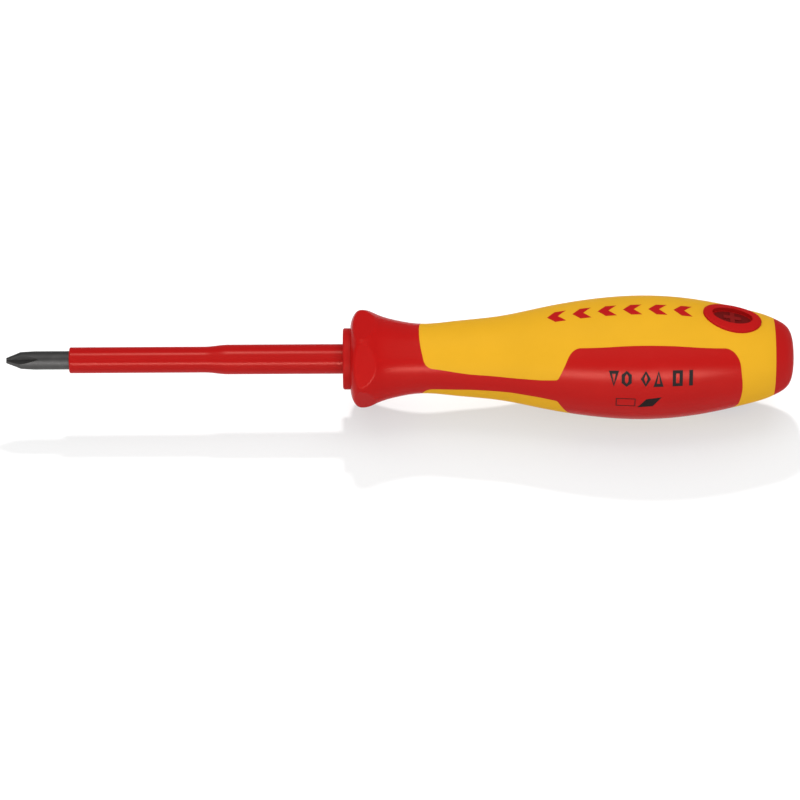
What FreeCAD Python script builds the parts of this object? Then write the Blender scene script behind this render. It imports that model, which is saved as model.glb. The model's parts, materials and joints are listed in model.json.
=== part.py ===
import FreeCAD, Part
import math
import os

# An insulated cross-tip screwdriver, in millimetres.
# The blade's axis is X. The tip points to -X, the butt of the handle to +X.
# The origin is on that axis, in the front face of the handle's nose collar.
# The two soft side panels face -Y and +Y, the marked yellow flanks +Z and -Z.

# ---- blade: a PH1 cross tip on a round rod ----
BLADE_REACH = 80.0
BARE_RADIUS = 2.2
SLEEVED_RADIUS = 2.0
TIP_END_RADIUS = 0.65
TIP_CONE_LENGTH = 3.4
FLUTE_LENGTH = 7.9
FLUTE_ROOT_RADIUS = 0.5
FLUTE_HALF_ANGLE = 46.0
BLADE_INSIDE_HANDLE = 62.0
BLADE_END_CHAMFER = 0.6
WING_START = 46.0
WING_LENGTH = 10.0
WING_SPAN = 7.4
WING_THICKNESS = 2.2

# ---- insulating sleeve moulded on the blade ----
SLEEVE_START = -65.0
SLEEVE_RADIUS = 3.1
SLEEVE_SWELL_START = -32.8
SLEEVE_SWELL_END = -27.3
SLEEVE_REAR_RADIUS = 3.55
SLEEVE_EDGE_ROUND = 0.35
SLEEVE_ROOT_RADIUS = 4.0
SLEEVE_LOCK_START = 9.0
SLEEVE_LOCK_RADIUS = 4.7
SLEEVE_END = 12.0

# ---- handle ----
HANDLE_LENGTH = 107.0
COLLAR_RADIUS = 7.3
COLLAR_LENGTH = 1.8
COLLAR_EDGE_ROUND = 0.5
NECK_X = 18.8
NECK_RADIUS = 8.3
SWELL_X = 70.5
SWELL_RADIUS = 14.72
CAP_SEAM_X = 102.2
CAP_SEAM_RADIUS = 9.2

# Outside of the handle as stations (x, radius) from the guard's front face to the butt.
# The last one lies past the cap's seam, where the dome takes over.
GUARD_CREST_X = 4.9
GUARD_STATIONS = [
    (COLLAR_LENGTH, 7.8),
    (2.2, 9.5),
    (2.9, 10.8),
    (3.6, 11.5),
    (GUARD_CREST_X, 11.72),
    (8.0, 10.6),
    (12.4, 9.22),
]
BODY_STATIONS = [
    (NECK_X, NECK_RADIUS),
    (26.5, 8.88),
    (37.5, 10.05),
    (47.0, 11.95),
    (60.0, 14.05),
    (SWELL_X, SWELL_RADIUS),
    (84.8, 13.6),
    (96.2, 11.15),
    (CAP_SEAM_X, CAP_SEAM_RADIUS),
    (105.0, 7.5),
]

# Hexagonal anti-roll guard. Its flats open towards the rear, so that one of them
# lies level on a bench that the swell of the handle rests on too.
GUARD_ACROSS_FLATS = 20.9
GUARD_FLAT_SLOPE = 3.86
GUARD_FLATS_END = 14.0
GUARD_EDGE_ROUND = 0.9

# How deep each layer lies under the handle's outside.
GRIP_DEPTH = 1.6
RIB_DEPTH = 1.9
CORE_DEPTH = 2.9

# Hard core.
CORE_END = 98.0
NECK_RING_RADIUS = 6.6
NECK_RING_WIDTH = 1.2
NECK_RING_PLACES = [6.0, 10.0]
RIB_START = 30.0
RIB_END = 92.0
RIB_THICKNESS = 2.0

# Yellow shell.
SHELL_TONGUE_START = 14.0

# Outline of the soft grip seen from the side, as corners (x, z, corner radius).
# It covers the whole neck, narrows to a runner, then widens to the panel.
CLEAR_Z = 30.0
GRIP_FRONT_X = 17.6
RUNNER_HALF_WIDTH = 2.25
PANEL_HALF_WIDTH = 11.8
PANEL_END = 94.4
GRIP_OUTLINE = [
    (GRIP_FRONT_X, CLEAR_Z, 0.0),
    (GRIP_FRONT_X + 0.4, 8.4, 6.0),
    (GRIP_FRONT_X + 2.0, 3.3, 2.4),
    (30.0, RUNNER_HALF_WIDTH + 0.1, 30.0),
    (40.0, RUNNER_HALF_WIDTH, 30.0),
    (46.5, RUNNER_HALF_WIDTH + 0.4, 12.0),
    (50.6, 3.2, 1.0),
    (53.9, 10.0, 3.8),
    (73.0, PANEL_HALF_WIDTH, 80.0),
    (93.3, 9.0, 4.6),
    (PANEL_END, 0.0, 20.0),
]

# Butt cap: a dome on a spigot with a snap bead.
DOME_SHOULDER = 3.9
DOME_FLAT = 6.8
SPIGOT_RADIUS = 5.0
SPIGOT_START = 90.5
SPIGOT_SOCKET_START = 90.0
BEAD_RADIUS = 5.5
BEAD_X = 94.0
BEAD_RAMP = 0.8
BEAD_LENGTH = 1.2

# Oval label inserts near the butt.
LABEL_X = 92.0
LABEL_LENGTH = 13.9
LABEL_WIDTH = 9.3
LABEL_PROUD = 0.7
LABEL_EDGE_ROUND = 0.35
LABEL_DEPTH = 1.5
DISH_LENGTH = 9.6
DISH_WIDTH = 5.4
DISH_DEPTH = 0.4
CROSS_SPAN = 4.2
CROSS_BAR = 1.1
CROSS_DEPTH = 0.15

# Row of plain chevrons let into each yellow flank.
MARK_COUNT = 6
MARK_FIRST_X = 50.5
MARK_PITCH = 5.95
MARK_HEIGHT = 3.7
MARK_POINT = 1.9
MARK_ARM = 2.6
MARK_DEPTH = 0.8

# A length longer than any section of the tool, for cutting tools.
BEYOND = 40.0

AXIS_X = FreeCAD.Vector(1, 0, 0)
AXIS_Y = FreeCAD.Vector(0, 1, 0)
AXIS_Z = FreeCAD.Vector(0, 0, 1)
CENTRE = FreeCAD.Vector(0, 0, 0)


# ---- small helpers ----
def in_section(x, radius):
    """A point of a turned outline, drawn in the X-Z plane."""
    return FreeCAD.Vector(x, 0, radius)


def line(start, end):
    return Part.LineSegment(start, end).toShape()


def turned(edges):
    """The solid made by turning a closed outline about the blade's axis."""
    face = Part.Face(Part.Wire(Part.__sortEdges__(edges)))
    solid = face.revolve(CENTRE, AXIS_X, 360)
    # The turned faces' seam goes to the middle of the far side panel.
    solid.rotate(CENTRE, AXIS_X, -90)
    return solid


def turned_polygon(points):
    corners = [in_section(x, radius) for x, radius in points]
    pairs = zip(corners, corners[1:] + corners[:1])
    return turned([line(start, end) for start, end in pairs])


def rod(start, end, radius):
    return Part.makeCylinder(radius, end - start, FreeCAD.Vector(start, 0, 0), AXIS_X)


def block(start, end, across_y, across_z):
    corner = FreeCAD.Vector(start, -across_y / 2, -across_z / 2)
    return Part.makeBox(end - start, across_y, across_z, corner)


def handle_outline(depth):
    """The handle's outline from the guard's face to just past the cap's seam, thinned by a depth."""
    stations = [in_section(x, radius - depth) for x, radius in GUARD_STATIONS + BODY_STATIONS]
    outline = Part.BSplineCurve()
    outline.interpolate(stations)
    return outline


def under_skin(depth, start, end):
    """The handle's turned shape in front of the cap, thinned by a depth, between two planes."""
    outline = handle_outline(depth)
    front = outline.StartPoint
    rear = outline.EndPoint
    foot = in_section(front.x, 0)
    heel = in_section(rear.x, 0)
    whole = turned([line(foot, front), outline.toShape(), line(rear, heel), line(heel, foot)])
    return whole.common(block(start, end, BEYOND, BEYOND))


def mirrored(corners):
    """Corners of an outline continued by their own mirror image below the axis."""
    lower = [(x, -z, radius) for x, z, radius in reversed(corners) if z != 0]
    return corners + lower


def rounded_wire(corners):
    """A closed outline in the X-Z plane whose corners are tangent arcs."""
    edges = []
    ends = []
    count = len(corners)
    for index, (x, z, radius) in enumerate(corners):
        here = in_section(x, z)
        before = in_section(*corners[index - 1][:2])
        after = in_section(*corners[(index + 1) % count][:2])
        to_before = (before - here).normalize()
        to_after = (after - here).normalize()
        half_turn = to_before.getAngle(to_after) / 2
        reach = radius / math.tan(half_turn)
        arc_start = here + to_before * reach
        arc_end = here + to_after * reach
        if radius > 0:
            bisector = (to_before + to_after).normalize()
            centre = here + bisector * (radius / math.sin(half_turn))
            middle = centre - bisector * radius
            edges.append(Part.Arc(arc_start, middle, arc_end).toShape())
        ends.append((arc_start, arc_end))
    for index in range(count):
        edges.append(line(ends[index - 1][1], ends[index][0]))
    return Part.Wire(Part.__sortEdges__(edges))


def oval_column(length, width, side):
    """An upright elliptic column through one yellow flank at the label's place."""
    centre = FreeCAD.Vector(LABEL_X, 0, 0)
    ellipse = Part.Ellipse(centre, length / 2, width / 2).toShape()
    face = Part.Face(Part.Wire([ellipse]))
    return face.extrude(AXIS_Z * side * BEYOND)


# ---- the pieces ----
def make_tip_flute(quarter):
    """One V-shaped flute as a cutting wheel leaves it, deepest at the tip and running out along the rod."""
    depth = BARE_RADIUS - FLUTE_ROOT_RADIUS
    wheel_radius = (FLUTE_LENGTH ** 2 + depth ** 2) / (2 * depth)
    half_width = math.tan(math.radians(FLUTE_HALF_ANGLE)) * wheel_radius
    root = FreeCAD.Vector(-BLADE_REACH, 0, FLUTE_ROOT_RADIUS)
    hub = root + AXIS_Z * wheel_radius
    left = hub - AXIS_Y * half_width
    right = hub + AXIS_Y * half_width
    face = Part.Face(Part.makePolygon([root, left, right, root]))
    flute = face.revolve(hub, AXIS_Y, 360)
    flute.rotate(CENTRE, AXIS_X, 45 + 90 * quarter)
    return flute


def make_blade():
    cone_end = TIP_CONE_LENGTH - BLADE_REACH
    blade = turned_polygon([
        (-BLADE_REACH, 0),
        (-BLADE_REACH, TIP_END_RADIUS),
        (cone_end, BARE_RADIUS),
        (SLEEVE_START, BARE_RADIUS),
        (SLEEVE_START, SLEEVED_RADIUS),
        (BLADE_INSIDE_HANDLE - BLADE_END_CHAMFER, SLEEVED_RADIUS),
        (BLADE_INSIDE_HANDLE, SLEEVED_RADIUS - BLADE_END_CHAMFER),
        (BLADE_INSIDE_HANDLE, 0),
    ])
    for quarter in range(4):
        blade = blade.cut(make_tip_flute(quarter))
    wings = block(WING_START, WING_START + WING_LENGTH, WING_THICKNESS, WING_SPAN)
    return blade.fuse(wings).removeSplitter()


def make_blade_insulation():
    front_edge = in_section(SLEEVE_START, SLEEVE_RADIUS - SLEEVE_EDGE_ROUND)
    front_mid = in_section(
        SLEEVE_START + SLEEVE_EDGE_ROUND * (1 - math.sqrt(0.5)),
        SLEEVE_RADIUS - SLEEVE_EDGE_ROUND * (1 - math.sqrt(0.5)),
    )
    front_top = in_section(SLEEVE_START + SLEEVE_EDGE_ROUND, SLEEVE_RADIUS)
    swell_start = in_section(SLEEVE_SWELL_START, SLEEVE_RADIUS)
    swell_end = in_section(SLEEVE_SWELL_END, SLEEVE_REAR_RADIUS)
    swell = Part.BSplineCurve()
    swell.interpolate(
        Points=[swell_start, (swell_start + swell_end) * 0.5, swell_end],
        InitialTangent=AXIS_X,
        FinalTangent=AXIS_X,
    )
    rear = [
        in_section(0, SLEEVE_REAR_RADIUS),
        in_section(0, SLEEVE_ROOT_RADIUS),
        in_section(SLEEVE_LOCK_START, SLEEVE_ROOT_RADIUS),
        in_section(SLEEVE_LOCK_START, SLEEVE_LOCK_RADIUS),
        in_section(SLEEVE_END, SLEEVE_LOCK_RADIUS),
        in_section(SLEEVE_END, SLEEVED_RADIUS),
        in_section(SLEEVE_START, SLEEVED_RADIUS),
        front_edge,
    ]
    edges = [
        Part.Arc(front_edge, front_mid, front_top).toShape(),
        line(front_top, swell_start),
        swell.toShape(),
        line(swell_end, rear[0]),
    ]
    for start, end in zip(rear, rear[1:]):
        edges.append(line(start, end))
    return turned(edges)


def make_core_body():
    """The hard core with its holes still filled: nose collar, ringed neck and ribbed swell."""
    collar = rod(0, COLLAR_LENGTH, COLLAR_RADIUS)
    front_edge = [edge for edge in collar.Edges if edge.BoundBox.XMax < COLLAR_LENGTH / 2]
    core = collar.makeFillet(COLLAR_EDGE_ROUND, front_edge)
    core = core.fuse(rod(COLLAR_LENGTH, NECK_X, NECK_RADIUS - CORE_DEPTH))
    for place in NECK_RING_PLACES:
        core = core.fuse(rod(place, place + NECK_RING_WIDTH, NECK_RING_RADIUS))
    core = core.fuse(under_skin(CORE_DEPTH, NECK_X, CORE_END))
    rib_layer = under_skin(RIB_DEPTH, RIB_START, RIB_END)
    for turn in (45, 135):
        plate = block(RIB_START, RIB_END, RIB_THICKNESS, BEYOND)
        plate.rotate(CENTRE, AXIS_X, turn)
        core = core.fuse(rib_layer.common(plate))
    return core.removeSplitter()


def make_handle_core(body, inner_pieces):
    """The hard core, hollowed for the blade, its sleeve and the butt cap's spigot."""
    core = body.cut(rod(SPIGOT_SOCKET_START, SPIGOT_START, SPIGOT_RADIUS))
    for piece in inner_pieces:
        core = core.cut(piece)
    return core


def guard_hexagon(x):
    """Corners of the hexagon that the guard's six flats draw in the plane at x."""
    opening = (x - GUARD_CREST_X) * math.tan(math.radians(GUARD_FLAT_SLOPE))
    corner = (GUARD_ACROSS_FLATS / 2 + opening) / math.cos(math.radians(30))
    points = []
    for index in range(6):
        angle = math.radians(60 * index)
        points.append(FreeCAD.Vector(x, corner * math.cos(angle), corner * math.sin(angle)))
    return points


def flat_face(points):
    return Part.Face(Part.makePolygon(points + points[:1]))


def make_guard_block():
    """Space left to the guard by its six flats, open behind them."""
    front = guard_hexagon(0)
    rear = guard_hexagon(GUARD_FLATS_END)
    faces = [flat_face(front), flat_face(rear)]
    for index in range(6):
        faces.append(flat_face([front[index - 1], front[index], rear[index], rear[index - 1]]))
    flats = Part.makeSolid(Part.makeShell(faces))
    return flats.fuse(rod(GUARD_FLATS_END, HANDLE_LENGTH, BEYOND))


def is_guard_flat(face):
    """True for a flat face that runs along the axis."""
    flat = face.Surface.TypeId == "Part::GeomPlane"
    return flat and abs(face.normalAt(0, 0).x) < 0.5


def make_grip_outside():
    """The handle's outside with the guard's six flats, whose edges are rounded."""
    outside = under_skin(0, COLLAR_LENGTH, CAP_SEAM_X).common(make_guard_block())
    edges = []
    for face in outside.Faces:
        if is_guard_flat(face):
            edges += face.Edges
    return outside.makeFillet(GUARD_EDGE_ROUND, edges)


def make_soft_grip(core_body):
    """Guard, two runners and two side panels, moulded in one piece."""
    outline = rounded_wire(mirrored([(-BEYOND, CLEAR_Z, 0.0)] + GRIP_OUTLINE))
    column = Part.Face(outline).extrude(AXIS_Y * BEYOND)
    column.translate(AXIS_Y * (-BEYOND / 2))
    floor = under_skin(GRIP_DEPTH, SHELL_TONGUE_START, CAP_SEAM_X)
    return make_grip_outside().common(column).cut(floor).cut(core_body)


def make_label_pad(side):
    """An oval pad that fills its pocket in the shell and stands a little proud."""
    pad = oval_column(LABEL_LENGTH, LABEL_WIDTH, side)
    pad = pad.common(under_skin(-LABEL_PROUD, SHELL_TONGUE_START, CAP_SEAM_X))
    return pad.cut(under_skin(LABEL_DEPTH, SHELL_TONGUE_START, CAP_SEAM_X))


def rounded_top(pad, side):
    """The same pad with its outer top edge rounded."""
    top = max(pad.Faces, key=lambda face: face.CenterOfMass.z * side)
    return pad.makeFillet(LABEL_EDGE_ROUND, top.Edges)


def make_label_insert(side):
    """The oval pad with a dished middle, in which a plain cross stands."""
    dish = oval_column(DISH_LENGTH, DISH_WIDTH, side)
    dish = dish.cut(under_skin(DISH_DEPTH, SHELL_TONGUE_START, CAP_SEAM_X))
    half_span = CROSS_SPAN / 2
    bars = block(LABEL_X - half_span, LABEL_X + half_span, CROSS_BAR, BEYOND)
    bars = bars.fuse(block(LABEL_X - CROSS_BAR / 2, LABEL_X + CROSS_BAR / 2, CROSS_SPAN, BEYOND))
    cross = dish.common(bars).common(under_skin(CROSS_DEPTH, SHELL_TONGUE_START, CAP_SEAM_X))
    return rounded_top(make_label_pad(side), side).cut(dish).fuse(cross).removeSplitter()


def make_chevron(centre_x, side):
    """One chevron that points to the tip, sunk a little into the flank."""
    back = MARK_ARM + MARK_POINT
    half_height = MARK_HEIGHT / 2
    start = centre_x - back / 2
    outline = [
        (start, 0),
        (start + MARK_POINT, half_height),
        (start + back, half_height),
        (start + MARK_ARM, 0),
        (start + back, -half_height),
        (start + MARK_POINT, -half_height),
        (start, 0),
    ]
    points = [FreeCAD.Vector(x, y, 0) for x, y in outline]
    return Part.Face(Part.makePolygon(points)).extrude(AXIS_Z * side * BEYOND)


def make_mark_inlays(side):
    skin = under_skin(0, SHELL_TONGUE_START, CORE_END)
    skin = skin.cut(under_skin(MARK_DEPTH, SHELL_TONGUE_START, CORE_END))
    marks = []
    for index in range(MARK_COUNT):
        chevron = make_chevron(MARK_FIRST_X + MARK_PITCH * index, side)
        marks.append(chevron.common(skin).Solids[0])
    return Part.makeCompound(marks)


def make_butt_cap():
    outline = handle_outline(0)
    seam = in_section(CAP_SEAM_X, CAP_SEAM_RADIUS)
    slope = outline.tangent(outline.parameter(seam))[0]
    top = in_section(HANDLE_LENGTH, 0)
    curve = Part.BezierCurve()
    curve.setPoles([seam, seam + slope * DOME_SHOULDER, top + AXIS_Z * DOME_FLAT, top])
    heel = in_section(CAP_SEAM_X, 0)
    dome = turned([line(heel, seam), curve.toShape(), line(top, heel)])
    spigot = rod(SPIGOT_START, CAP_SEAM_X, SPIGOT_RADIUS)
    bead = turned_polygon([
        (BEAD_X, 0),
        (BEAD_X, SPIGOT_RADIUS),
        (BEAD_X + BEAD_RAMP, BEAD_RADIUS),
        (BEAD_X + BEAD_LENGTH, BEAD_RADIUS),
        (BEAD_X + BEAD_LENGTH, 0),
    ])
    return dome.fuse(spigot).fuse(bead).removeSplitter()


def make_handle_shell(filled_places):
    """The hard outer shell: all of the handle that nothing else takes up."""
    shell = under_skin(0, SHELL_TONGUE_START, CAP_SEAM_X)
    shell = shell.cut(rod(SPIGOT_SOCKET_START, SPIGOT_START, SPIGOT_RADIUS))
    for place in filled_places:
        shell = shell.cut(place)
    return shell


def make_all():
    blade = make_blade()
    insulation = make_blade_insulation()
    butt_cap = make_butt_cap()
    core_body = make_core_body()
    grip = make_soft_grip(core_body)
    upper_marks = make_mark_inlays(1)
    lower_marks = make_mark_inlays(-1)
    filled = [core_body, grip, butt_cap, make_label_pad(1), make_label_pad(-1), upper_marks, lower_marks]
    return {
        "blade": blade,
        "blade_insulation": insulation,
        "handle_core": make_handle_core(core_body, [blade, insulation, butt_cap]),
        "handle_shell": make_handle_shell(filled),
        "soft_grip": grip,
        "butt_cap": butt_cap,
        "upper_label_insert": make_label_insert(1),
        "lower_label_insert": make_label_insert(-1),
        "upper_mark_inlays": upper_marks,
        "lower_mark_inlays": lower_marks,
    }


def main():
    os.makedirs("parts", exist_ok=True)
    for name, shape in make_all().items():
        shape.exportStep(f"parts/{name}.step")
        box = shape.BoundBox
        print(
            f"{name}: {len(shape.Solids)} solid(s), valid {shape.isValid()}, {shape.Volume:.1f} mm3, "
            f"x {box.XMin:.2f}..{box.XMax:.2f}, y {box.YMin:.2f}..{box.YMax:.2f}, z {box.ZMin:.2f}..{box.ZMax:.2f}"
        )


main()
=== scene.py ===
import json
import math

import bmesh
import bpy
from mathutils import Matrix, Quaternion, Vector
from mathutils.bvhtree import BVHTree


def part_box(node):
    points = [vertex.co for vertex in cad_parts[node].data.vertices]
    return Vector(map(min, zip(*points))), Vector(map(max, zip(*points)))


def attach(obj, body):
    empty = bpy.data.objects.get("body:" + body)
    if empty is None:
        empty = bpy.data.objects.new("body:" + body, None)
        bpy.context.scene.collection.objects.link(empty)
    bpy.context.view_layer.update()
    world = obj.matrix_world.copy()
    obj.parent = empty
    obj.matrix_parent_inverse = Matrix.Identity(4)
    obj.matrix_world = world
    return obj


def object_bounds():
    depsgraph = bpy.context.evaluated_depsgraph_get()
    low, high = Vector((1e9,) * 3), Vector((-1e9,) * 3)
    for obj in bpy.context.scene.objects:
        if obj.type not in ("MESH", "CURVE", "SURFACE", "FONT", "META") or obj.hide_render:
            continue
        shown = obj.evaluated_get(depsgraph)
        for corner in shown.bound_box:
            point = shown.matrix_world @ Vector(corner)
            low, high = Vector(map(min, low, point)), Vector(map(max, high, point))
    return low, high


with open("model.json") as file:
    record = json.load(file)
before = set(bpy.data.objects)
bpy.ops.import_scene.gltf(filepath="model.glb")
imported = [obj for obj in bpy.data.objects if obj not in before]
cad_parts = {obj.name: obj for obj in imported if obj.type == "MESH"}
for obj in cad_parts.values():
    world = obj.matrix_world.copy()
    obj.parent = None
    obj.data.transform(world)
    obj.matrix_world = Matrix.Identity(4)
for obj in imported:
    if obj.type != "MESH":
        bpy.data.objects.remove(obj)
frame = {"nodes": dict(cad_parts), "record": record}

# An insulated cross-tip screwdriver under soft studio light.
# The blade's axis is X, the tip points to -X, and the camera looks along +Y and down.

MM = 0.001
CAD_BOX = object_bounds()
NODES = frame["nodes"]
LOWEST_Z = CAD_BOX[0].z
MIDDLE_X = (CAD_BOX[0].x + CAD_BOX[1].x) / 2
WIDEST_RADIUS = CAD_BOX[1].z

# ---- camera ----
CAMERA_ELEVATION = math.radians(40)
CAMERA_ROLL = math.radians(0.3)
CAMERA_DISTANCE = 1.03
CAMERA_LENS = 195.0
SENSOR_WIDTH = 36.0
AIM_BELOW_AXIS = 9.85 * MM

# ---- colours, linear ----
GRIP_RED = (0.475, 0.0075, 0.007)
SLEEVE_RED = (0.44, 0.0055, 0.0055)
HARD_RED = (0.46, 0.009, 0.009)
# Painted shade in the labels' oval dish, and lighter painted shade on the cross standing in it
DISH_SHADE_RED = (0.14, 0.008, 0.008)
CROSS_SHADE_RED = (0.22, 0.01, 0.01)
SHELL_YELLOW = (0.76, 0.4, 0.019)
STEEL_DARK = (0.068, 0.066, 0.065)
INK_BLACK = (0.012, 0.007, 0.007)
WARM_GLOSS = (1.0, 0.45, 0.36)
AMBER_GLOSS = (1.0, 0.75, 0.3)
FLOOR_GREY = (0.18, 0.18, 0.18)

# ---- gloss: shares that it keeps at the rims and on the guard, and where it fades ----
RIM_GLOSS = 0.12
RIM_FADE_START = 0.15
RIM_FADE_END = 0.6
GUARD_GLOSS = 0.6
GUARD_BACK_X = 8 * MM
NECK_X = 16 * MM

# ---- label inserts: half sizes of the dish in their tops and of the cross in the dish ----
# The painted shade in the dish fades out from DISH_RIM_START, a share of its half sizes, to its edge.
DISH_HALF_LENGTH = 4.8 * MM
DISH_HALF_WIDTH = 2.7 * MM
DISH_RIM_START = 0.9
CROSS_HALF_SPAN = 2.1 * MM
CROSS_HALF_BAR = 0.55 * MM

# ---- print on the near side panel ----
# Places on the panel are (x, s) in millimetres. s runs round the handle, upwards from -Y.
PRINT_PROUD = 0.03 * MM
PRINT_SUNK = 0.05 * MM
SIDE_STEPS = 6
UPPER_ROW_S = 4.9
FIRST_SIGN_X = 63.7
SIGN_PITCH = 3.0
PAIR_PITCH = 7.5
SIGN_HALF_SIZE = (1.2, 2.05)
SIGN_STROKE = 0.8
BAR_START_X = 81.4
BAR_END_X = 82.3
THIN_OBLONG_CENTRE = (66.6, -1.8)
THIN_OBLONG_HALF_SIZE = (2.3, 1.3)
THIN_STROKE = 0.2
SLANTED_BLOCK_BOTTOM = [(69.4, -3.5), (73.0, -3.1)]
SLANTED_BLOCK_TOP = [(71.4, -0.7), (75.0, -0.2)]

# ---- stage and light ----
FLOOR_HALF_SIZE = 3.0
FLOOR_GLOW = 0.6
SKY_LIGHT = 0.38
BLADE_STRIP_X = -64 * MM


# ---- node materials ----
class Graph:
    """A material's node graph, with short calls for the nodes used here."""

    def __init__(self, name):
        self.material = bpy.data.materials.new(name)
        self.material.use_nodes = True
        self.nodes = self.material.node_tree.nodes
        self.links = self.material.node_tree.links
        self.surface = self.nodes["Principled BSDF"]
        self.place = self.nodes.new("ShaderNodeTexCoord").outputs["Object"]

    def join(self, source, target):
        self.links.new(source, target)

    def set(self, name, value):
        """Sets an input of the surface to a plain value or joins a socket to it."""
        target = self.surface.inputs[name]
        if isinstance(value, bpy.types.NodeSocket):
            self.join(value, target)
        else:
            target.default_value = value

    def gloss(self, level, tint, share=1.0):
        """Tinted gloss that fades towards the rims, as on a dull moulded surface. The share scales it."""
        facing = self.nodes.new("ShaderNodeLayerWeight").outputs["Facing"]
        faded = self.span(facing, level, level * RIM_GLOSS, RIM_FADE_START, RIM_FADE_END)
        self.set("Specular IOR Level", self.worked_out("MULTIPLY", faded, share))
        self.set("Specular Tint", (*tint, 1))

    def moved(self, scale, shift=(0, 0, 0)):
        """The object's own coordinates, scaled and then shifted along each axis."""
        node = self.nodes.new("ShaderNodeMapping")
        node.inputs["Scale"].default_value = scale
        node.inputs["Location"].default_value = shift
        self.join(self.place, node.inputs["Vector"])
        return node.outputs["Vector"]

    def noise(self, scale, detail=2.0, place=None):
        node = self.nodes.new("ShaderNodeTexNoise")
        node.inputs["Scale"].default_value = scale
        node.inputs["Detail"].default_value = detail
        self.join(place or self.place, node.inputs["Vector"])
        return node.outputs["Fac"]

    def cells(self, scale):
        node = self.nodes.new("ShaderNodeTexVoronoi")
        node.feature = "SMOOTH_F1"
        node.inputs["Scale"].default_value = scale
        self.join(self.place, node.inputs["Vector"])
        return node.outputs["Distance"]

    def worked_out(self, operation, first, second):
        """The result of a math operation on two values or sockets."""
        node = self.nodes.new("ShaderNodeMath")
        node.operation = operation
        for target, value in zip(node.inputs, (first, second)):
            if isinstance(value, bpy.types.NodeSocket):
                self.join(value, target)
            else:
                target.default_value = value
        return node.outputs["Value"]

    def coordinate(self, axis):
        """The object's own X, Y or Z coordinate."""
        node = self.nodes.new("ShaderNodeSeparateXYZ")
        self.join(self.place, node.inputs["Vector"])
        return node.outputs[axis]

    def inside_box(self, centre_x, half_x, half_y):
        """1 inside an upright box around (centre_x, 0), and 0 outside it."""
        inside_x = self.worked_out("COMPARE", self.coordinate("X"), centre_x)
        inside_x.node.inputs[2].default_value = half_x
        inside_y = self.worked_out("COMPARE", self.coordinate("Y"), 0)
        inside_y.node.inputs[2].default_value = half_y
        return self.worked_out("MINIMUM", inside_x, inside_y)

    def length(self, vector):
        node = self.nodes.new("ShaderNodeVectorMath")
        node.operation = "LENGTH"
        self.join(vector, node.inputs[0])
        return node.outputs["Value"]

    def span(self, value, low, high, start=0.0, end=1.0):
        """Maps a value between start and end to low to high."""
        node = self.nodes.new("ShaderNodeMapRange")
        node.inputs["From Min"].default_value = start
        node.inputs["From Max"].default_value = end
        node.inputs["To Min"].default_value = low
        node.inputs["To Max"].default_value = high
        self.join(value, node.inputs["Value"])
        return node.outputs["Result"]

    def between(self, value, first, second):
        """A colour between first and second, by value. Either may be a colour or a socket."""
        node = self.nodes.new("ShaderNodeMix")
        node.data_type = "RGBA"
        for name, colour in (("A", first), ("B", second)):
            if isinstance(colour, bpy.types.NodeSocket):
                self.join(colour, node.inputs[name])
            else:
                node.inputs[name].default_value = (*colour, 1)
        self.join(value, node.inputs["Factor"])
        return node.outputs["Result"]

    def bump(self, height, depth, below=None):
        node = self.nodes.new("ShaderNodeBump")
        node.inputs["Distance"].default_value = depth
        self.join(height, node.inputs["Height"])
        if below:
            self.join(below, node.inputs["Normal"])
        return node.outputs["Normal"]


def shade(colour, factor):
    return tuple(min(1, channel * factor) for channel in colour)


def clouded(graph, colour):
    """The colour with faint, broad flow clouds in it."""
    return graph.between(graph.noise(scale=90, detail=3), shade(colour, 0.95), shade(colour, 1.05))


def moulded_plastic(name, colour, roughness, grain_size, grain_depth):
    """Moulded plastic: fine mould grain, faint flow clouds and uneven gloss."""
    graph = Graph(name)
    graph.set("Base Color", clouded(graph, colour))
    patches = graph.noise(scale=350, detail=4)
    graph.set("Roughness", graph.span(patches, roughness - 0.04, roughness + 0.04))
    waves = graph.bump(graph.noise(scale=120, detail=1), depth=0.02 * MM)
    graph.set("Normal", graph.bump(graph.cells(1 / grain_size), grain_depth, waves))
    return graph


def make_soft_grip_material():
    """Soft red plastic, duller on the guard than behind it."""
    graph = moulded_plastic(
        "soft_red_grip", GRIP_RED, roughness=0.25, grain_size=0.22 * MM, grain_depth=0.002 * MM
    )
    share = graph.span(graph.coordinate("X"), GUARD_GLOSS, 1, GUARD_BACK_X, NECK_X)
    graph.gloss(0.2, WARM_GLOSS, share)
    return graph.material


def make_shell_material():
    graph = moulded_plastic(
        "hard_yellow_plastic", SHELL_YELLOW, roughness=0.48, grain_size=0.16 * MM, grain_depth=0.003 * MM
    )
    graph.gloss(0.08, AMBER_GLOSS)
    return graph.material


def hard_red_plastic(name):
    return moulded_plastic(name, HARD_RED, roughness=0.45, grain_size=0.18 * MM, grain_depth=0.005 * MM)


def make_hard_red_material():
    graph = hard_red_plastic("hard_red_plastic")
    graph.gloss(0.12, WARM_GLOSS)
    return graph.material


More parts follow.
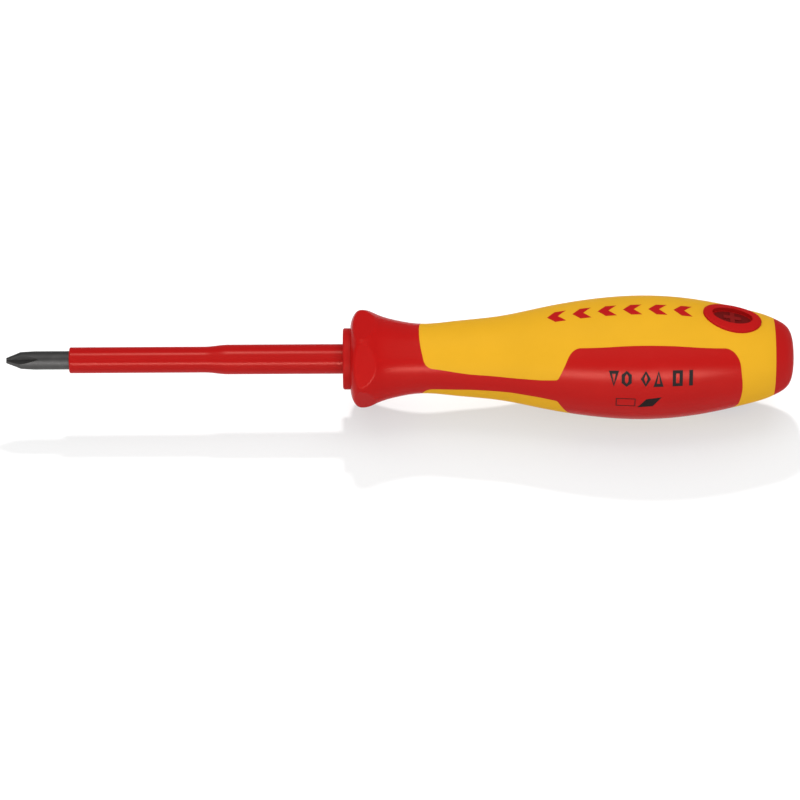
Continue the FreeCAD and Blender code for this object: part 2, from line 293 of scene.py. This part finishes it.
def make_label_material():
    """Hard red plastic with painted shade in the oval dish, and lighter painted shade on the cross in it."""
    graph = hard_red_plastic("label_red_plastic")
    low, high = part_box("upper_label_insert")
    centre_x = (low.x + high.x) / 2
    scale = (1 / DISH_HALF_LENGTH, 1 / DISH_HALF_WIDTH, 0)
    oval = graph.moved(scale, (-centre_x / DISH_HALF_LENGTH, 0, 0))
    rim = graph.span(graph.length(oval), 0, 1, DISH_RIM_START, 1)
    bar_along = graph.inside_box(centre_x, CROSS_HALF_SPAN, CROSS_HALF_BAR)
    bar_across = graph.inside_box(centre_x, CROSS_HALF_BAR, CROSS_HALF_SPAN)
    cross = graph.worked_out("MAXIMUM", bar_along, bar_across)
    # Painted shade: dark in the dish, lighter on the cross
    dish_shade = graph.between(cross, DISH_SHADE_RED, CROSS_SHADE_RED)
    graph.set("Base Color", graph.between(rim, dish_shade, clouded(graph, HARD_RED)))
    graph.gloss(0.07, WARM_GLOSS)
    return graph.material


def make_sleeve_material():
    graph = moulded_plastic(
        "insulating_sleeve", SLEEVE_RED, roughness=0.23, grain_size=0.3 * MM, grain_depth=0.001 * MM
    )
    graph.gloss(0.22, WARM_GLOSS)
    return graph.material


def make_steel_material():
    """Dark burnished steel with faint turning marks around the rod."""
    graph = Graph("tool_steel")
    rings = graph.noise(scale=1, detail=3, place=graph.moved((9000, 60, 60)))
    stains = graph.noise(scale=500, detail=4)
    graph.set("Base Color", graph.between(stains, shade(STEEL_DARK, 0.75), shade(STEEL_DARK, 1.25)))
    graph.set("Roughness", graph.span(rings, 0.48, 0.6))
    graph.set("Normal", graph.bump(rings, depth=0.004 * MM))
    graph.set("Metallic", 0.85)
    return graph.material


def make_ink_material():
    graph = Graph("printing_ink")
    speckle = graph.noise(scale=2600, detail=3)
    graph.set("Base Color", graph.between(speckle, INK_BLACK, shade(INK_BLACK, 2.2)))
    graph.set("Roughness", graph.span(speckle, 0.45, 0.6))
    graph.gloss(0.08, (1, 1, 1))
    graph.set("Normal", graph.bump(speckle, depth=0.005 * MM))
    return graph.material


def paint(node, material):
    for place in node.material_slots:
        place.material = material


def dress_cad_nodes():
    """Each CAD node gets the material of its record's slot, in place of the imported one."""
    makers = {
        "tool_steel": make_steel_material,
        "insulating_sleeve": make_sleeve_material,
        "hard_red_plastic": make_hard_red_material,
        "hard_yellow_plastic": make_shell_material,
        "soft_red_grip": make_soft_grip_material,
    }
    made = {slot: maker() for slot, maker in makers.items()}
    for row in frame["record"]["subparts"]:
        paint(NODES[row["node"]], made[row["material_slot"]])
    label_material = make_label_material()
    for name in ("upper_label_insert", "lower_label_insert"):
        paint(NODES[name], label_material)


# ---- print on the side panel ----
def grip_surface():
    """A tree of the soft grip's faces, for laying the print on them."""
    grip = NODES["soft_grip"]
    points = [grip.matrix_world @ vertex.co for vertex in grip.data.vertices]
    return BVHTree.FromPolygons(points, [tuple(face.vertices) for face in grip.data.polygons])


def on_panel(tree, place, lift):
    """The point at a place (x, s) on the panel, lifted off it."""
    x, s = place
    turn = s * MM / WIDEST_RADIUS
    out = Vector((0, -math.cos(turn), math.sin(turn)))
    start = Vector((x * MM, 0, 0)) + out * 2 * WIDEST_RADIUS
    return tree.ray_cast(start, -out)[0] + out * lift


def add_patch(mesh, tree, rows, closed):
    """Adds a thin closed patch of ink over rows of places. A closed patch joins its last row to its first."""
    layers = []
    for lift in (PRINT_PROUD, -PRINT_SUNK):
        layers.append([[mesh.verts.new(on_panel(tree, place, lift)) for place in row] for row in rows])
    top, under = layers
    steps = len(rows) if closed else len(rows) - 1
    last = len(rows[0]) - 1
    for here in range(steps):
        ahead = (here + 1) % len(rows)
        for layer in layers:
            for column in range(last):
                near, far = layer[here], layer[ahead]
                mesh.faces.new((near[column], far[column], far[column + 1], near[column + 1]))
        for column in (0, last):
            mesh.faces.new((top[here][column], top[ahead][column], under[ahead][column], under[here][column]))
    if not closed:
        for end in (0, -1):
            for column in range(last):
                upper, lower = top[end], under[end]
                mesh.faces.new((upper[column], upper[column + 1], lower[column + 1], lower[column]))


def along_sides(corners):
    """A closed outline through the corners, each side cut in equal steps."""
    outline = []
    for index, (x, y) in enumerate(corners):
        next_x, next_y = corners[(index + 1) % len(corners)]
        for step in range(SIDE_STEPS):
            part = step / SIDE_STEPS
            outline.append((x + (next_x - x) * part, y + (next_y - y) * part))
    return outline


def outline_sign(corners, centre, half_size, stroke):
    """Rows of places for an outlined sign. Its corners lie in a square from -1 to 1."""
    rows = []
    for x, y in along_sides(corners):
        row = []
        for inset in (0, stroke):
            row.append((centre[0] + x * (half_size[0] - inset), centre[1] + y * (half_size[1] - inset)))
        rows.append(row)
    return rows


def filled_sign(bottom, top):
    """Rows of places between a bottom edge and a top edge, each two places, cut in equal steps both ways."""
    rows = []
    for across in range(SIDE_STEPS + 1):
        row = []
        for rise in range(SIDE_STEPS + 1):
            u = across / SIDE_STEPS
            v = rise / SIDE_STEPS
            low = [a + (b - a) * u for a, b in zip(*bottom)]
            high = [a + (b - a) * u for a, b in zip(*top)]
            row.append(tuple(a + (b - a) * v for a, b in zip(low, high)))
        rows.append(row)
    return rows


def make_print_piece(name, tree, rows, closed, ink):
    mesh = bmesh.new()
    add_patch(mesh, tree, rows, closed)
    bmesh.ops.recalc_face_normals(mesh, faces=mesh.faces)
    data = bpy.data.meshes.new(name)
    mesh.to_mesh(data)
    mesh.free()
    data.materials.append(ink)
    piece = bpy.data.objects.new(name, data)
    bpy.context.scene.collection.objects.link(piece)
    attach(piece, "root")


def make_print():
    """Two rows of plain signs on the near panel: shapes only, with no letters or figures."""
    tree = grip_surface()
    ink = make_ink_material()
    triangle_down = [(0, -1), (1, 1), (-1, 1)]
    triangle_up = [(-1, -1), (1, -1), (0, 1)]
    diamond = [(0, -1), (1, 0), (0, 1), (-1, 0)]
    oblong = [(-1, -1), (1, -1), (1, 1), (-1, 1)]
    hexagon = [(0, -1), (1, -0.5), (1, 0.5), (0, 1), (-1, 0.5), (-1, -0.5)]
    signs = {
        "print_triangle_down": triangle_down,
        "print_hexagon": hexagon,
        "print_diamond": diamond,
        "print_triangle_up": triangle_up,
        "print_oblong": oblong,
    }
    for index, (name, corners) in enumerate(signs.items()):
        pair, place = divmod(index, 2)
        x = FIRST_SIGN_X + PAIR_PITCH * pair + SIGN_PITCH * place
        rows = outline_sign(corners, (x, UPPER_ROW_S), SIGN_HALF_SIZE, SIGN_STROKE)
        make_print_piece(name, tree, rows, True, ink)
    low = UPPER_ROW_S - SIGN_HALF_SIZE[1]
    high = UPPER_ROW_S + SIGN_HALF_SIZE[1]
    bar = filled_sign([(BAR_START_X, low), (BAR_END_X, low)], [(BAR_START_X, high), (BAR_END_X, high)])
    make_print_piece("print_bar", tree, bar, False, ink)
    thin_oblong = outline_sign(oblong, THIN_OBLONG_CENTRE, THIN_OBLONG_HALF_SIZE, THIN_STROKE)
    make_print_piece("print_thin_oblong", tree, thin_oblong, True, ink)
    slanted_block = filled_sign(SLANTED_BLOCK_BOTTOM, SLANTED_BLOCK_TOP)
    make_print_piece("print_slanted_block", tree, slanted_block, False, ink)


# ---- stage, light and camera ----
def make_floor():
    """A plain pale light table just under the part."""
    mesh = bpy.data.meshes.new("floor")
    half = FLOOR_HALF_SIZE
    corners = [(-half, -half), (half, -half), (half, half), (-half, half)]
    mesh.from_pydata([(x, y, LOWEST_Z) for x, y in corners], [], [(0, 1, 2, 3)])
    floor = bpy.data.objects.new("floor", mesh)
    bpy.context.scene.collection.objects.link(floor)
    graph = Graph("floor")
    clouds = graph.noise(scale=6, detail=2)
    graph.set("Base Color", graph.between(clouds, shade(FLOOR_GREY, 0.995), FLOOR_GREY))
    graph.set("Roughness", 0.8)
    graph.set("Specular IOR Level", 0.1)
    graph.set("Emission Color", (1, 1, 1, 1))
    graph.set("Emission Strength", FLOOR_GLOW)
    mesh.materials.append(graph.material)
    return floor


def add_softbox(name, elevation, distance, width, height, power, azimuth=0, over_x=MIDDLE_X):
    """An area light aimed at the tool's axis. Azimuth 0 stands on the camera's side."""
    light = bpy.data.lights.new(name, "AREA")
    light.shape = "RECTANGLE"
    light.size = width
    light.size_y = height
    light.energy = power
    lamp = bpy.data.objects.new(name, light)
    bpy.context.scene.collection.objects.link(lamp)
    up = math.radians(elevation)
    around = math.radians(azimuth)
    out = Vector((math.sin(around) * math.cos(up), -math.cos(around) * math.cos(up), math.sin(up)))
    lamp.location = Vector((over_x, 0, 0)) + out * distance
    lamp.rotation_mode = "QUATERNION"
    lamp.rotation_quaternion = (-out).to_track_quat("-Z", "Y")
    return lamp


def make_object_lights():
    """A broad soft fill that gives the colour, and two strips seen only as gloss."""
    fill = add_softbox("fill_softbox", elevation=70, distance=0.8, width=1.2, height=1.0, power=7.6)
    fill.visible_glossy = False
    front_strip = add_softbox("front_strip", elevation=5, distance=0.8, width=0.9, height=0.16, power=6.5)
    front_strip.visible_diffuse = False
    blade_strip = add_softbox(
        "blade_strip", elevation=93, distance=0.7, width=0.13, height=0.2, power=1.1, over_x=BLADE_STRIP_X
    )
    blade_strip.visible_diffuse = False


def make_shadow_lamps(floor):
    """Two lamps behind the tool that light only the floor, so that the tool shades it softly."""
    low = add_softbox(
        "low_back_softbox", elevation=45.5, distance=0.9, width=0.08, height=0.06, power=16.5, azimuth=180
    )
    high = add_softbox(
        "high_back_softbox", elevation=70, distance=0.9, width=1.2, height=0.8, power=9.7, azimuth=180
    )
    lit_from_behind = bpy.data.collections.new("lit_from_behind")
    lit_from_behind.objects.link(floor)
    for lamp in (low, high):
        lamp.light_linking.receiver_collection = lit_from_behind


def make_sky():
    """An even white surround."""
    world = bpy.data.worlds.new("studio")
    bpy.context.scene.world = world
    world.use_nodes = True
    background = world.node_tree.nodes["Background"]
    background.inputs["Color"].default_value = (1, 1, 1, 1)
    background.inputs["Strength"].default_value = SKY_LIGHT


def make_camera():
    """The camera aims a little below the axis, so that the tool sits above the middle of the image."""
    data = bpy.data.cameras.new("camera")
    data.lens = CAMERA_LENS
    data.sensor_width = SENSOR_WIDTH
    data.clip_start = 0.01
    data.clip_end = 20
    camera = bpy.data.objects.new("camera", data)
    bpy.context.scene.collection.objects.link(camera)
    back = Vector((0, -math.cos(CAMERA_ELEVATION), math.sin(CAMERA_ELEVATION)))
    up = Vector((0, math.sin(CAMERA_ELEVATION), math.cos(CAMERA_ELEVATION)))
    aim = Vector((MIDDLE_X, 0, 0)) - up * AIM_BELOW_AXIS
    camera.location = aim + back * CAMERA_DISTANCE
    camera.rotation_mode = "QUATERNION"
    level = (-back).to_track_quat("-Z", "Y")
    camera.rotation_quaternion = Quaternion(back, -CAMERA_ROLL) @ level
    bpy.context.scene.camera = camera


dress_cad_nodes()
make_print()
floor = make_floor()
make_object_lights()
make_shadow_lamps(floor)
make_sky()
make_camera()
bpy.context.scene.view_settings.view_transform = "Standard"
